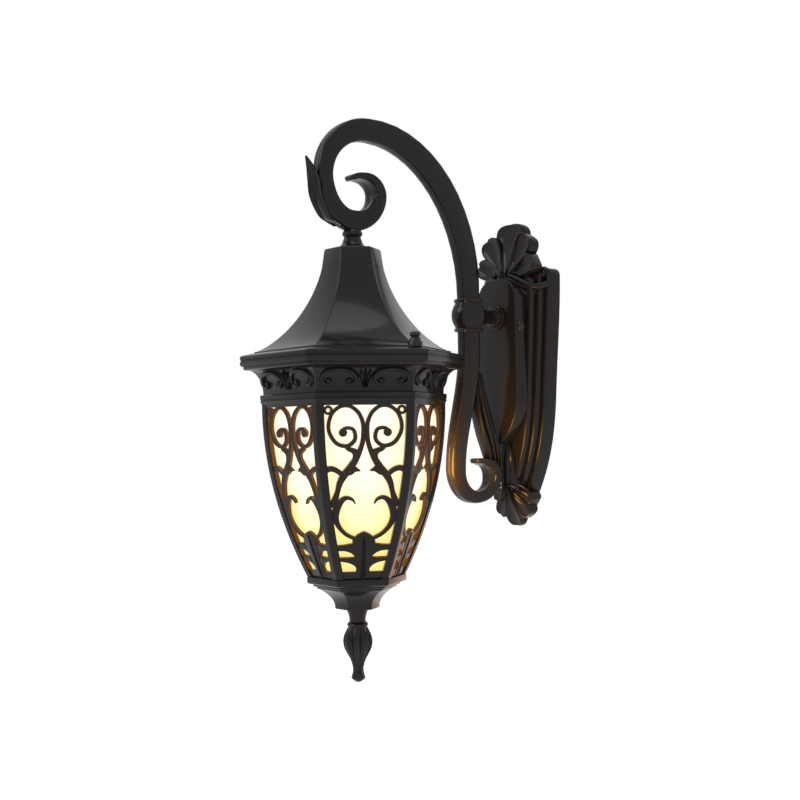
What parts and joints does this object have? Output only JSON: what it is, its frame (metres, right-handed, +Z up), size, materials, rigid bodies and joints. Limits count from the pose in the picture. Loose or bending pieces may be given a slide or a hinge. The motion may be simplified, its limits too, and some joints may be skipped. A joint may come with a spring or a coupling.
{
  "type": "outdoor wall lantern",
  "caption": "Cast wall lantern: six-sided bell roof, filigree cage over an opal shade and drop finial, hung from a scrolled arm on a shield-shaped wall plate.",
  "frame": {"origin": "on the wall plane behind the boss of the arm", "axes": "+Z up, -Y out of the wall, X along the wall"},
  "size_m": [0.1836, 0.2795, 0.4565],
  "materials": {
    "black_paint": "satin gloss black",
    "dark_fixings": "satin",
    "zinc_steel": "zinc plated",
    "opal_shade": "opal, lit from inside",
    "white_ceramic": "unglazed",
    "frosted_bulb": "frosted"
  },
  "bodies": {
    "root": {"arm_boss": "black_paint", "arm_left_half": "black_paint", "arm_right_half": "black_paint", "arm_screws": "zinc_steel", "back_plate": "black_paint", "base_cup": "black_paint", "boss_bolt": "zinc_steel", "boss_nut": "zinc_steel", "bulb": "frosted_bulb", "cap_nuts": "dark_fixings", "cap_studs": "zinc_steel", "finial": "black_paint", "foot_nut": "zinc_steel", "foot_stud": "zinc_steel", "hanger_nut": "zinc_steel", "hanger_tube": "zinc_steel", "lampholder": "white_ceramic", "lantern_body": "black_paint", "neck": "black_paint", "roof": "black_paint", "shade": "opal_shade", "side_screws": "dark_fixings", "wall_bracket": "zinc_steel"}
  },
  "joints": []
}
